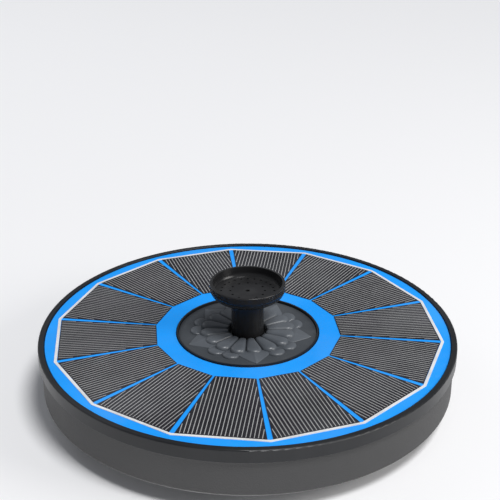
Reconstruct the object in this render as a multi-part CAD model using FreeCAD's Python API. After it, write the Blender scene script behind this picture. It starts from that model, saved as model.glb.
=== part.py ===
"""Solar fountain pump: a round solar panel on a floating hull, with a pump under its middle.

Millimetres, +Z up. Z = 0 is the flat underside of the intake cover, under the hull's centre,
and -Y is the front. Each sub-part is a closed solid, or a group of them, in its own STEP file.
"""
import FreeCAD, Part

import math
import os

Vector = FreeCAD.Vector
UP = Vector(0, 0, 1)

# ---- Hull ----
rim_radius = 90.0  # outside of the rim round the panel
float_height = 21.3  # hull's underside to the rim's top
rim_band = 5.8  # height of the rim's outer band
rim_face = 2.5  # width of the rim's top face, beside the panel
skirt_wall = 1.9  # top casing's outer wall, below the deck
shell_step = 1.1  # how far the base shell stands back from the rim
shell_wall = 2.0
shell_floor = 2.0
tongue_wall = 1.1  # thinner top of the base shell's wall, inside the skirt
deck_thickness = 1.7
gasket_height = 0.5
seam_gap = 0.15  # open line between the rim and the base shell
wall_fit = 0.1  # between shells that slide together
boss_ring_inset = 8.9  # from the base shell's inner wall to the circle of its screws
boss_radius = 4.2
boss_height = 7.0
boss_wall = 2.0  # plastic round a pilot hole in the floor
pillar_radius = 3.0
counterbore_depth = 5.0
rib_count = 12
rib_start = 46.0
rib_thickness = 1.5
rib_height = 4.0
socket_ring_radius = 62.0  # circle of the sockets for anchor feet
socket_radius = 2.5
socket_depth = 7.0
socket_wall = 2.5

# ---- Panel, in layers from the top ----
panel_gap = 0.4  # open line between the panel and the casing round it
film_sink = 0.1  # the film's top lies this much below the rim
film_thickness = 0.35
cell_thickness = 0.2
board_thickness = 1.5
panel_hole_radius = 31.2
cell_count = 14
cell_start = -84.24  # angle of the first corner between two cells
ribbon_inset = 3.3  # from the panel's edge to the corner of the ribbon's middle line
ribbon_width = 1.2
ribbon_clearance = 0.15
cell_inner_radius = 40.4  # corner of the cells' inner ends
bar_inner = 1.0  # bare bar between two cells, at its inner end
bar_outer = 2.2  # and at its outer end

# ---- Centre trim ----
collar_wall = 0.7
collar_fit = 0.1
rosette_hole_radius = 8.2
rosette_rim_sink = 1.1  # the trim's edge lies this much below the rim
rosette_crown = 0.8  # and its middle stands this much above it
petal_height = 0.5
petal_groove = 0.5
inner_petals = 16
inner_petal_tip = 20.8
inner_petal_turn = -81.1
petal_shoulder = 0.35  # where a pointed petal is widest, as a share of its length
petal_overlap = 3.0  # how far the outer ring's petals start under the inner ones
point_count = 5
point_tip = 27.8
point_turn = -82.6
point_span = 34.0  # degrees that a pointed petal fills
lobes_between = 2  # round lobes between two pointed petals
lobe_tip = 25.0

# ---- Nozzle ----
riser_radius = 5.0
riser_bore = 3.4
spout_rise = 12.2  # spout's end above the rim
spout_hole_gap = 0.2
stem_radius = 7.0
stem_fit = 0.05  # running fit of the stem on the spout
stem_foot_gap = 0.25
stem_exposed = 13.2  # from the rim's top to where the stem flares
stem_end_gap = 0.5
flare_radius = 2.2
bowl_depth = 5.1
cup_radius = 16.2
lip_height = 2.4
cup_wall = 1.3
jet_bore = 4.0
plate_thickness = 1.2
plate_step = 0.9  # from the cup's inner wall to the plate's edge
plate_drop = 4.1  # from the lip down to the plate
plate_fit = 0.05
lip_rounding = 0.4
seat_overlap = 0.1
jet_rings = ((24, 11.4, 0.5), (12, 7.4, 0.5), (1, 0.0, 0.9))  # count, circle, hole radius
seal_section = 0.4
seal_groove_height = 1.4
seal_below_end = 4.8

# ---- Intake cover and its bayonet, in layers from the bottom ----
cover_radius = 31.0
cover_wall = 1.8
cover_floor = 1.6
spigot_lift = 1.0
lug_height = 1.2
lug_gap = 0.2
ledge_height = 1.4
cover_lip = 0.4  # cover's wall above the ledges
cover_gap = 0.2
flange_thickness = 2.0
flange_boss_height = 6.0  # bosses on the hull's floor for the flange's screws
spigot_radius = 27.4
spigot_wall = 1.8
spigot_margin = 1.1  # from the spigot to the flange's round opening
lug_reach = 1.5
lug_span = 24.0
ledge_span = 40.0
ledge_gap = 0.2
lug_count = 3
stop_span = 3.0
stop_gap_angle = 1.0
floor_slots = 24
floor_slot_width = 1.6
floor_slot_start = 9.0
floor_slot_end = 24.0
wall_slots = 30
wall_slot_width = 2.2
wall_slot_low = 2.1
wall_slot_height = 1.7
sponge_fit = 0.4
sponge_height = 3.2

# ---- Pump ----
pump_radius = 31.3
pump_wall = 1.8
flange_reach = 7.7  # from the pump's wall to the flange's edge
block_height = 6.0
rotor_x = 13.0  # the rotor stands beside the riser
chamber_radius = 9.2
chamber_roof = 0.8  # block's plastic over the wet chamber
scroll_radius = 10.6
scroll_shift = 1.1
outlet_width = 5.0
volute_thickness = 1.8
volute_fit = 0.2
volute_screw_inset = 2.8
eye_radius = 5.0
spider_arms = 3
spider_width = 1.4
spider_hub_radius = 2.4
lid_thickness = 1.6
lid_gap = 0.55
lid_fit = 0.1
ledge_width = 0.9
ledge_drop = 0.6
can_gap = 0.4
can_wall = 0.8
can_clearance = 0.5
collar_gap = 0.3  # base shell's collar round the pump
collar_thickness = 2.0
collar_drop = 0.5  # collar's top, below the leads' grommet
groove_depth = 1.4
groove_height = 1.8
groove_lift = 3.1

# ---- Rotor ----
shaft_radius = 1.0
shaft_fit = 0.05
bush_height = 1.2
lower_bush_height = 2.0
shaft_end_gap = 0.1
bush_wall = 0.6
upper_bush_wall = 1.4
bush_seat_wall = 0.8
washer_height = 0.2
washer_gap = 0.05
hub_radius = 3.2
impeller_radius = 8.0
impeller_disc = 0.8
impeller_gap = 0.4
vane_count = 6
vane_thickness = 1.0
vane_sweep = 40.0
magnet_radius = 6.3
magnet_gap = 0.4
press_fit = 0.02  # glued or pressed round faces
overrun = 0.1  # how far a joining or cutting shape runs past a face

# ---- Stator and electronics ----
core_gap = 0.2
leg_width = 3.5
pole_reach = 2.8
pole_width = 12.0
core_reach = 22.0
yoke_width = 3.5
coil_room_gap = 0.35
coil_depth = 2.5  # bobbin flange beyond the core
bobbin_wall = 0.6
bobbin_flange = 1.0
bobbin_fit = 0.1
winding_inset = 0.5
winding_rounding = 1.2
bobbin_end_gap = 0.2
drive_width = 22.0
drive_depth = 12.8
drive_thickness = 1.2
drive_standoff = 1.0
drive_gap = 1.9
post_radius = 1.5  # posts that the driver board is glued to
post_inset = 2.2
chip_row = 3.5  # from the board's near edge to the middle of its parts
chip_width = 5.0
chip_depth = 4.0
chip_height = 1.2
chip_x = -4.5
capacitor_radius = 2.0
capacitor_x = 7.0
capacitor_gap = 0.3  # below the motor cover
sensor_gap = 0.2
sensor_thickness = 1.5
sensor_width = 4.0
sensor_height = 3.0
lead_radius = 0.6
lead_spacing = 1.9
lead_bend = 6.0
lead_run = 0.7  # level run between the grommet and the bend
lead_hole_radius = 3.0
lead_overlap = 3.0  # how far the wires lie over the driver board
lead_lift = 0.1
grommet_radius = 1.75
grommet_flange = 2.2
grommet_plate = 1.0
grommet_slack = 0.25
grommet_seat = 0.05

# ---- Screws: shank radius, head radius, head height ----
casing_screw = (1.2, 2.7, 1.8)
flange_screw = (1.05, 2.4, 1.5)
volute_screw = (0.95, 2.0, 1.2)
screw_clearance = 0.4
pilot_clearance = 0.05
pilot_end_gap = 0.5
pilot_skin = 1.0
head_clearance = 0.3

# ---- Levels that follow from the stack ----
spigot_foot = cover_floor + spigot_lift
lug_top = spigot_foot + lug_height
ledge_low = lug_top + lug_gap
ledge_top = ledge_low + ledge_height
cover_top = ledge_top + cover_lip
flange_low = cover_top + cover_gap
base_z = flange_low + flange_thickness
floor_top = base_z + shell_floor
rim_top = base_z + float_height
seam_z = rim_top - rim_band
film_low = rim_top - film_sink - film_thickness
cell_low = film_low - cell_thickness
deck_top = cell_low - board_thickness
deck_low = deck_top - deck_thickness
tongue_top = deck_low - gasket_height
block_top = base_z + block_height
chamber_top = block_top - chamber_roof
lid_top = deck_low - lid_gap
lid_low = lid_top - lid_thickness
can_ceiling = lid_low - can_gap - can_wall
upper_bush_low = can_ceiling - bush_height
washer_room = washer_height + 2 * washer_gap
rotor_top = upper_bush_low - washer_room
drive_low = block_top + drive_standoff
drive_top = drive_low + drive_thickness
lead_z = drive_top + lead_radius + lead_lift
collar_top = lead_z - grommet_flange - collar_drop
spout_top = rim_top + spout_rise
flare_z = rim_top + stem_exposed
bowl_low = flare_z + flare_radius
lip_low = bowl_low + bowl_depth
lip_top = lip_low + lip_height
plate_top = lip_top - plate_drop
plate_low = plate_top - plate_thickness

# ---- Radii that follow from their neighbours ----
shell_radius = rim_radius - shell_step
skirt_inner = rim_radius - skirt_wall
tongue_radius = skirt_inner - wall_fit
shell_inner = shell_radius - shell_wall
boss_ring_radius = shell_inner - boss_ring_inset
panel_radius = rim_radius - rim_face - panel_gap
ribbon_radius = panel_radius - ribbon_inset
collar_outer = panel_hole_radius - panel_gap
collar_inner = collar_outer - collar_wall
rosette_radius = collar_inner - collar_fit
pump_inner = pump_radius - pump_wall
lead_reach = pump_radius + grommet_plate + lead_run + lead_bend
flange_radius = pump_radius + flange_reach
flange_screw_radius = (pump_radius + flange_radius) / 2
ledge_reach = cover_radius - cover_wall - spigot_radius - ledge_gap
volute_hole = spigot_radius - spigot_wall - spigot_margin
volute_radius = volute_hole - volute_fit
can_inner = magnet_radius + can_clearance
can_outer = can_inner + can_wall
core_inner = can_outer + core_gap
cup_inner = cup_radius - cup_wall
pocket_radius = cup_inner - plate_step
cell_angle = 360 / cell_count


# ---- Shape helpers ----
def polar(radius, degrees, z=0.0):
    angle = math.radians(degrees)
    return Vector(radius * math.cos(angle), radius * math.sin(angle), z)


def disc(radius, low, high, x=0.0, y=0.0):
    return Part.makeCylinder(radius, high - low, Vector(x, y, low))


def ring(inner, outer, low, high, x=0.0, y=0.0):
    return disc(outer, low, high, x, y).cut(disc(inner, low, high, x, y))


def block(x_low, x_high, y_low, y_high, low, high):
    return Part.makeBox(x_high - x_low, y_high - y_low, high - low, Vector(x_low, y_low, low))


def rounded_wire(corners):
    """Closed wire through (across, up, rounding) corners in the XZ plane."""
    edges = []
    joints = []
    for index, (across, up, rounding) in enumerate(corners):
        here = Vector(across, 0, up)
        back = Vector(corners[index - 1][0], 0, corners[index - 1][1]) - here
        following = corners[(index + 1) % len(corners)]
        ahead = Vector(following[0], 0, following[1]) - here
        if rounding == 0:
            joints.append((here, here))
            continue
        half_angle = back.getAngle(ahead) / 2
        back.normalize()
        ahead.normalize()
        start = here + back * (rounding / math.tan(half_angle))
        end = here + ahead * (rounding / math.tan(half_angle))
        inward = back + ahead
        inward.normalize()
        middle = here + inward * (rounding / math.sin(half_angle) - rounding)
        edges.append(Part.Arc(start, middle, end).toShape())
        joints.append((start, end))
    for index, (start, end) in enumerate(joints):
        following = joints[(index + 1) % len(joints)][0]
        if end.distanceToPoint(following) > 1e-6:
            edges.append(Part.LineSegment(end, following).toShape())
    return Part.Wire(Part.__sortEdges__(edges))


def turned(corners, x=0.0, y=0.0):
    """Solid of revolution about a vertical axis."""
    solid = Part.Face(rounded_wire(corners)).revolve(Vector(0, 0, 0), UP, 360)
    solid.translate(Vector(x, y, 0))
    return solid


def prism(points, low, high):
    """Upright prism over an outline of (x, y) points."""
    outline = Part.makePolygon([Vector(x, y, low) for x, y in points + points[:1]])
    return Part.Face(outline).extrude(UP * (high - low))


def rotated(shape, degrees, x=0.0, y=0.0):
    copy = shape.copy()
    copy.rotate(Vector(x, y, 0), UP, degrees)
    return copy


def repeated(shape, count, start=0.0):
    return [rotated(shape, start + index * 360 / count) for index in range(count)]


def sector(inner, outer, low, high, start, end):
    """Part of a ring between two angles."""
    whole = Part.makeCylinder(outer, high - low, Vector(0, 0, low), UP, end - start)
    return rotated(whole.cut(disc(inner, low, high)), start)


def joined(first, *others):
    return first.fuse(list(others)).removeSplitter()


def screw(size, seat, tip, place):
    """Pan-head screw driven from below: its head hangs under the seat, with a cross recess."""
    shank_radius, head_radius, head_height = size
    head_low = seat - head_height
    body = turned([
        (0, head_low, 0),
        (head_radius, head_low, head_height * 0.4),
        (head_radius, seat, 0),
        (shank_radius, seat, 0),
        (shank_radius, tip, shank_radius * 0.4),
        (0, tip, 0),
    ])
    arm = head_radius * 0.6
    slot = head_radius * 0.12
    recess_top = head_low + head_height * 0.5
    cross = block(-arm, arm, -slot, slot, head_low, recess_top).fuse(
        block(-slot, slot, -arm, arm, head_low, recess_top))
    body = body.cut(cross)
    body.translate(Vector(place.x, place.y, 0))
    return body


def screws_on(places, size, seat, tip):
    return Part.makeCompound([screw(size, seat, tip, place) for place in places])


def save(name, shape):
    if not shape.isValid():
        raise ValueError(name + " is not a valid shape")
    shape.exportStep("parts/" + name + ".step")


# ---- Places that more than one piece uses ----
boss_places = [polar(boss_ring_radius, 30 + 60 * index) for index in range(6)]
socket_places = [polar(socket_ring_radius, 90 * index) for index in range(4)]
flange_places = [polar(flange_screw_radius, 45 + 90 * index) for index in range(4)]
volute_places = [polar(volute_radius - volute_screw_inset, 75 + 120 * index) for index in range(3)]
lug_angles = [index * 360 / lug_count for index in range(lug_count)]
boss_top = floor_top + boss_height
casing_seat = base_z + counterbore_depth
pilot_top = deck_low - pilot_skin
flange_boss_radius = flange_screw[0] + boss_wall
flange_pilot_top = floor_top + flange_boss_height - pilot_skin
volute_pilot_top = block_top - pilot_skin
volute_low = base_z - volute_thickness


# ---- Hull ----
def make_top_casing():
    lip_inner = rim_radius - rim_face
    shell = turned([
        (riser_radius + spout_hole_gap, deck_low, 0),
        (skirt_inner, deck_low, 0),
        (skirt_inner, seam_z, 0),
        (rim_radius, seam_z, 0.25),
        (rim_radius, rim_top, 0.6),
        (lip_inner, rim_top, 0.25),
        (lip_inner, deck_top, 0),
        (riser_radius + spout_hole_gap, deck_top, 0),
    ])
    collar = ring(collar_inner, collar_outer, deck_top, rim_top)
    pillars = [disc(pillar_radius, boss_top, deck_low, p.x, p.y) for p in boss_places]
    shell = joined(shell, collar, *pillars)
    pilot = casing_screw[0] + pilot_clearance
    holes = [disc(pilot, boss_top, pilot_top, p.x, p.y) for p in boss_places]
    holes.append(disc(lead_hole_radius, deck_low, deck_top, 0, lead_reach))
    return shell.cut(holes)


def make_base_shell():
    bore = pump_radius + collar_gap
    shell = turned([
        (bore, base_z, 0),
        (shell_radius, base_z, 0.8),
        (shell_radius, seam_z - seam_gap, 0.2),
        (tongue_radius, seam_z - seam_gap, 0),
        (tongue_radius, tongue_top, 0),
        (tongue_radius - tongue_wall, tongue_top, 0),
        (shell_inner, floor_top, 0.8),
        (bore + collar_thickness, floor_top, 0),
        (bore + collar_thickness, collar_top, 0),
        (bore, collar_top, 0),
    ])
    bosses = [disc(boss_radius, floor_top, boss_top, p.x, p.y) for p in boss_places]
    bosses += [disc(socket_radius + socket_wall, floor_top, base_z + socket_depth + shell_floor, p.x, p.y)
               for p in socket_places]
    bosses += [disc(flange_boss_radius, floor_top, floor_top + flange_boss_height, p.x, p.y)
               for p in flange_places]
    rib = block(rib_start, (shell_inner + shell_radius) / 2, -rib_thickness / 2, rib_thickness / 2,
                base_z + shell_floor / 2, floor_top + rib_height)
    shell = joined(shell, *bosses, *repeated(rib, rib_count, 180 / rib_count))
    holes = []
    for p in boss_places:
        holes.append(disc(casing_screw[0] + screw_clearance, base_z, boss_top, p.x, p.y))
        holes.append(disc(casing_screw[1] + head_clearance, base_z, casing_seat, p.x, p.y))
    for p in socket_places:
        holes.append(disc(socket_radius, base_z, base_z + socket_depth, p.x, p.y))
    for p in flange_places:
        holes.append(disc(flange_screw[0] + pilot_clearance, base_z, flange_pilot_top, p.x, p.y))
    return shell.cut(holes)


def make_hull():
    save("top_casing", make_top_casing())
    save("base_shell", make_base_shell())
    save("casing_gasket", ring(tongue_radius - tongue_wall, tongue_radius, tongue_top, deck_low))
    save("casing_screws", screws_on(boss_places, casing_screw, casing_seat, pilot_top - pilot_end_gap))


# ---- Solar panel ----
def polygon_ring(inner_corner, outer_corner, low, high):
    outer = [tuple(polar(outer_corner, cell_start + k * cell_angle))[:2] for k in range(cell_count)]
    inner = [tuple(polar(inner_corner, cell_start + k * cell_angle))[:2] for k in range(cell_count)]
    return prism(outer, low, high).cut(prism(inner, low, high))


def make_cell(index):
    half = math.radians(cell_angle / 2)
    outer_corner = ribbon_radius - (ribbon_width / 2 + ribbon_clearance) / math.cos(half)
    inner_side = cell_inner_radius * math.sin(half) - bar_inner / 2
    outer_side = outer_corner * math.sin(half) - bar_outer / 2
    near = cell_inner_radius * math.cos(half)
    far = outer_corner * math.cos(half)
    wafer = prism([(near, -inner_side), (far, -outer_side), (far, outer_side), (near, inner_side)],
                  cell_low, film_low)
    return rotated(wafer, cell_start + (index + 0.5) * cell_angle)


def make_panel():
    save("panel_substrate", ring(panel_hole_radius, panel_radius, deck_top, cell_low))
    for index in range(cell_count):
        save("solar_cell_%02d" % (index + 1), make_cell(index))
    half = math.radians(cell_angle / 2)
    half_ribbon = ribbon_width / 2 / math.cos(half)
    save("bus_ribbon", polygon_ring(ribbon_radius - half_ribbon, ribbon_radius + half_ribbon,
                                    cell_low, film_low))
    save("panel_film", ring(panel_hole_radius, panel_radius, film_low, rim_top - film_sink))


# ---- Centre trim ----
def petal(root, tip, pitch, pointed):
    """Flat outline of one petal along +X: straight sides, and a round or pointed tip."""
    half_pitch = math.radians(pitch / 2)
    spread = math.sin(half_pitch)
    root_half = root * spread - petal_groove / 2
    if pointed:
        shoulder = root + (tip - root) * petal_shoulder
        shoulder_half = shoulder * spread - petal_groove / 2
        edges = [Vector(root, -root_half, 0), Vector(shoulder, -shoulder_half, 0), Vector(tip, 0, 0),
                 Vector(shoulder, shoulder_half, 0), Vector(root, root_half, 0)]
        wire = Part.makePolygon(edges + edges[:1])
    else:
        centre = (tip + petal_groove / 2) / (1 + spread)
        half = centre * spread - petal_groove / 2
        corners = [Vector(root, -root_half, 0), Vector(centre, -half, 0),
                   Vector(centre, half, 0), Vector(root, root_half, 0)]
        wire = Part.Wire([
            Part.LineSegment(corners[0], corners[1]).toShape(),
            Part.Arc(corners[1], Vector(centre + half, 0, 0), corners[2]).toShape(),
            Part.LineSegment(corners[2], corners[3]).toShape(),
            Part.LineSegment(corners[3], corners[0]).toShape(),
        ])
    flat = Part.Face(wire)
    flat.translate(UP * (deck_top + petal_height))
    return flat.extrude(UP * (rim_top + rosette_crown - deck_top + petal_height))


def dish(lift):
    """Trim body whose domed top lies petal_height * lift above the lowest level."""
    crown = rim_top + rosette_crown - (2 - lift) * petal_height
    edge = rim_top - rosette_rim_sink
    shoulder = edge + (crown - edge) * 0.35 + lift * petal_height * 0.3
    return turned([
        (rosette_hole_radius, deck_top, 0),
        (rosette_radius, deck_top, 0),
        (rosette_radius, edge, 0),
        (point_tip, edge + lift * petal_height * 0.5, 0),
        (inner_petal_tip, shoulder, 0),
        (rosette_hole_radius, crown, 0.3),
    ])


def make_rosette():
    """Domed trim: pointed petals and lobes in an outer ring, and the inner petals over them."""
    lobe_span = (360 / point_count - point_span) / lobes_between
    outer_root = inner_petal_tip - petal_overlap
    inner = petal(rosette_hole_radius + petal_groove, inner_petal_tip, 360 / inner_petals, False)
    lobe = petal(outer_root, lobe_tip, lobe_span, False)
    point = petal(outer_root, point_tip, point_span, True)
    lobe_turns = [(point_span + lobe_span) / 2 + place * lobe_span for place in range(lobes_between)]
    group = [point] + [rotated(lobe, turn) for turn in lobe_turns]
    trim = dish(0)
    for first in group:
        for shape in repeated(first, point_count, point_turn):
            trim = trim.fuse(shape.common(dish(1)))
    for shape in repeated(inner, inner_petals, inner_petal_turn):
        trim = trim.fuse(shape.common(dish(2)))
    return trim.removeSplitter()


# ---- Pump ----
def make_pump_housing():
    """Wet chamber block, motor well, rotor can, outlet riser and bayonet spigot in one moulding."""
    flange = turned([
        (volute_hole, flange_low, 0),
        (flange_radius, flange_low, 0.4),
        (flange_radius, base_z, 0),
        (volute_hole, base_z, 0),
    ])
    body = disc(pump_radius, base_z, block_top)
    wall = ring(pump_inner, pump_radius, block_top, lid_top)
    ledge = ring(pump_inner - ledge_width, pump_inner, lid_low - ledge_drop, lid_low)
    can = disc(can_outer, block_top, can_ceiling + can_wall, rotor_x)
    riser = disc(riser_radius, block_top, spout_top)
    spigot = ring(spigot_radius - spigot_wall, spigot_radius, spigot_foot, flange_low)
    lugs = [sector(spigot_radius - overrun, spigot_radius + lug_reach, spigot_foot, lug_top,
                   angle - lug_span / 2, angle + lug_span / 2) for angle in lug_angles]
    post_x = drive_width / 2 - post_inset
    posts = [disc(post_radius, block_top, drive_low, x, drive_near + drive_depth / 2)
             for x in (-post_x, post_x)]
    housing = joined(flange, body, wall, ledge, can, riser, spigot, *lugs, *posts)
    chamber = disc(chamber_radius, base_z, chamber_top, rotor_x)
    scroll = disc(scroll_radius, base_z, chamber_top, rotor_x - scroll_shift, scroll_shift)
    run_side = block(-riser_bore, rotor_x, scroll_radius - outlet_width, scroll_radius, base_z, chamber_top)
    run_in = block(-riser_bore, riser_bore, 0, scroll_radius, base_z, chamber_top)
    well = disc(can_inner, base_z, can_ceiling, rotor_x)
    bore = disc(riser_bore, base_z, spout_top)
    housing = housing.cut([chamber, scroll, run_side, run_in, well, bore])
    bush_outer = shaft_radius + upper_bush_wall
    bush_seat = ring(bush_outer + press_fit, bush_outer + bush_seat_wall, upper_bush_low, can_ceiling,
                     rotor_x)
    housing = joined(housing, bush_seat)
    groove = ring(pump_radius - groove_depth, pump_radius + overrun, base_z + groove_lift,
                  base_z + groove_lift + groove_height)
    seal_z = spout_top - seal_below_end
    seal_groove = ring(riser_radius - seal_section * 2, riser_radius + overrun,
                       seal_z - seal_groove_height / 2, seal_z + seal_groove_height / 2)
    lead_way = Part.makeCylinder(grommet_radius, pump_radius, Vector(0, pump_inner - pump_wall, lead_z),
                                 Vector(0, 1, 0))
    cuts = [groove, seal_groove, lead_way]
    for p in flange_places:
        cuts.append(disc(flange_screw[0] + screw_clearance, flange_low, base_z, p.x, p.y))
    for p in volute_places:
        cuts.append(disc(volute_screw[0] + pilot_clearance, base_z, volute_pilot_top, p.x, p.y))
    return housing.cut(cuts)


def make_volute_cover():
    plate = disc(volute_radius, volute_low, base_z)
    eye = disc(eye_radius, volute_low, base_z, rotor_x)
    arm = block(0, eye_radius + overrun, -spider_width / 2, spider_width / 2, volute_low, base_z)
    arm.translate(Vector(rotor_x, 0, 0))
    arms = [rotated(arm, index * 360 / spider_arms, rotor_x) for index in range(spider_arms)]
    hub_low = base_z - lower_bush_height - bush_seat_wall
    hub = disc(spider_hub_radius, hub_low, base_z, rotor_x)
    seat = disc(shaft_radius + bush_wall + press_fit, base_z - lower_bush_height, base_z, rotor_x)
    holes = [disc(volute_screw[0] + screw_clearance, volute_low, base_z, p.x, p.y) for p in volute_places]
    return joined(plate.cut(eye), hub, *arms).cut([seat] + holes)


def make_seal(radius, section, z):
    return Part.makeTorus(radius, section, Vector(0, 0, z))


def make_pump():
    save("pump_housing", make_pump_housing())
    seal_thickness = (groove_depth + collar_gap) / 2 - press_fit
    save("housing_seal", make_seal(pump_radius - groove_depth + seal_thickness + press_fit, seal_thickness,
                                   base_z + groove_lift + groove_height / 2))
    save("volute_cover", make_volute_cover())
    save("motor_cover", disc(pump_inner - lid_fit, lid_low, lid_top).cut(
        disc(riser_radius + lid_fit, lid_low, lid_top)))
    save("flange_screws", screws_on(flange_places, flange_screw, flange_low,
                                    flange_pilot_top - pilot_end_gap))
    save("volute_screws", screws_on(volute_places, volute_screw, volute_low,
                                    volute_pilot_top - pilot_end_gap))
    save("shaft_bush_lower", ring(shaft_radius + press_fit, shaft_radius + bush_wall,
                                  base_z - lower_bush_height, base_z, rotor_x))
    save("shaft_bush_upper", ring(shaft_radius + press_fit, shaft_radius + upper_bush_wall,
                                  upper_bush_low, can_ceiling, rotor_x))
    save("impeller_shaft", disc(shaft_radius, base_z - lower_bush_height + shaft_end_gap,
                                can_ceiling - shaft_end_gap, rotor_x))
    washer_outer = shaft_radius + upper_bush_wall
    lower_washer = base_z + washer_gap
    upper_washer = rotor_top + washer_gap
    save("thrust_washer_lower", ring(shaft_radius + shaft_fit, washer_outer, lower_washer,
                                     lower_washer + washer_height, rotor_x))
    save("thrust_washer_upper", ring(shaft_radius + shaft_fit, washer_outer, upper_washer,
                                     upper_washer + washer_height, rotor_x))


# ---- Rotor ----
def make_impeller():
    foot = base_z + washer_room
    vane_low = base_z + impeller_gap
    disc_top = chamber_top - impeller_gap
    disc_low = disc_top - impeller_disc
    hub = disc(hub_radius, foot, rotor_top)
    plate = disc(impeller_radius, disc_low, disc_top)
    outer_arc = disc(impeller_radius / 2 + vane_thickness / 2, vane_low, disc_low)
    inner_arc = disc(impeller_radius / 2 - vane_thickness / 2, vane_low, disc_low)
    vane = outer_arc.cut(inner_arc)
    vane = vane.common(block(-impeller_radius, impeller_radius, 0, impeller_radius, vane_low, disc_low))
    vane.translate(Vector(impeller_radius / 2, 0, 0))
    vane = vane.common(disc(impeller_radius - 0.2, vane_low, disc_low))
    vanes = repeated(rotated(vane, vane_sweep), vane_count)
    wheel = joined(hub, plate, *vanes)
    wheel = wheel.cut(disc(shaft_radius + shaft_fit, foot, rotor_top))
    wheel.translate(Vector(rotor_x, 0, 0))
    return wheel


def make_rotor():
    save("impeller", make_impeller())
    save("rotor_magnet", ring(hub_radius + press_fit, magnet_radius, block_top + magnet_gap,
                              rotor_top - magnet_gap, rotor_x))


# ---- Stator and electronics ----
coil_low = block_top + coil_room_gap
coil_high = lid_low - coil_room_gap
core_low = coil_low + coil_depth
core_high = coil_high - coil_depth
leg_inner = core_inner
leg_outer = leg_inner + leg_width
drive_near = leg_outer + drive_gap


def make_core():
    parts = []
    for side in (-1, 1):
        low, high = sorted((side * leg_inner, side * leg_outer))
        parts.append(block(-core_reach, core_reach, low, high, core_low, core_high))
        low, high = sorted((side * (leg_inner - pole_reach), side * leg_inner))
        parts.append(block(rotor_x - pole_width / 2, rotor_x + pole_width / 2, low, high,
                           core_low, core_high))
    parts.append(block(-core_reach, yoke_width - core_reach, -leg_outer, leg_outer, core_low, core_high))
    return joined(*parts).cut(disc(core_inner, core_low, core_high, rotor_x))


def around_yoke(margin, half_length):
    """Box round the yoke, standing off it by margin on its four long sides."""
    return block(-core_reach - margin, yoke_width - core_reach + margin, -half_length, half_length,
                 core_low - margin, core_high + margin)


def make_electronics():
    save("stator_core", make_core())
    half_length = leg_inner - bobbin_end_gap
    tube = around_yoke(bobbin_fit + bobbin_wall, half_length)
    flange = around_yoke(coil_depth, half_length).cut(
        around_yoke(coil_depth + overrun, half_length - bobbin_flange))
    hole = around_yoke(bobbin_fit, half_length)
    save("coil_bobbin", joined(tube, *flange.Solids).cut(hole))
    winding_half = half_length - bobbin_flange
    winding = around_yoke(coil_depth - winding_inset, winding_half)
    corners = [edge for edge in winding.Edges if edge.BoundBox.YLength > winding_half]
    winding = winding.makeFillet(winding_rounding, corners)
    save("coil_winding", winding.cut(around_yoke(bobbin_fit + bobbin_wall, winding_half)))
    drive_far = drive_near + drive_depth
    save("driver_board", block(-drive_width / 2, drive_width / 2, drive_near, drive_far,
                               drive_low, drive_top))
    chip_y = drive_near + chip_row
    save("driver_chip", block(chip_x - chip_width / 2, chip_x + chip_width / 2, chip_y - chip_depth / 2,
                              chip_y + chip_depth / 2, drive_top, drive_top + chip_height))
    save("capacitor", disc(capacitor_radius, drive_top, lid_low - capacitor_gap, capacitor_x, chip_y))
    sensor_x = rotor_x + can_outer + sensor_gap
    save("hall_sensor", block(sensor_x, sensor_x + sensor_thickness, -sensor_width / 2, sensor_width / 2,
                              block_top, block_top + sensor_height))
    save("lead_grommet", make_grommet())
    save("panel_lead_positive", make_lead(lead_spacing / 2))
    save("panel_lead_negative", make_lead(-lead_spacing / 2))


def make_grommet():
    sideways = Vector(0, 1, 0)
    inner_start = pump_inner - grommet_plate - grommet_slack
    outer_start = pump_radius + grommet_seat
    body = Part.makeCylinder(grommet_radius - press_fit, outer_start - inner_start,
                             Vector(0, inner_start, lead_z), sideways)
    inner = Part.makeCylinder(grommet_flange, grommet_plate, Vector(0, inner_start, lead_z), sideways)
    outer = Part.makeCylinder(grommet_flange, grommet_plate, Vector(0, outer_start, lead_z), sideways)
    holes = [Part.makeCylinder(lead_radius + press_fit, pump_radius, Vector(x, inner_start - 1, lead_z),
                               sideways) for x in (-lead_spacing / 2, lead_spacing / 2)]
    return joined(body, inner, outer).cut(holes)


def make_lead(x):
    """Insulated wire: down from the panel's back, one bend, then level to the driver board."""
    lead_end = drive_near + drive_depth - lead_overlap
    bend_top = Vector(x, lead_reach, lead_z + lead_bend)
    bend_end = Vector(x, lead_reach - lead_bend, lead_z)
    reach = lead_bend * (1 - math.sqrt(0.5))
    bend_middle = Vector(x, lead_reach - reach, lead_z + reach)
    route = Part.Wire([
        Part.LineSegment(Vector(x, lead_reach, deck_top), bend_top).toShape(),
        Part.Arc(bend_top, bend_middle, bend_end).toShape(),
        Part.LineSegment(bend_end, Vector(x, lead_end, lead_z)).toShape(),
    ])
    section = Part.Wire(Part.makeCircle(lead_radius, Vector(x, lead_reach, deck_top), UP))
    return route.makePipeShell([section], True, False)


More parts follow.
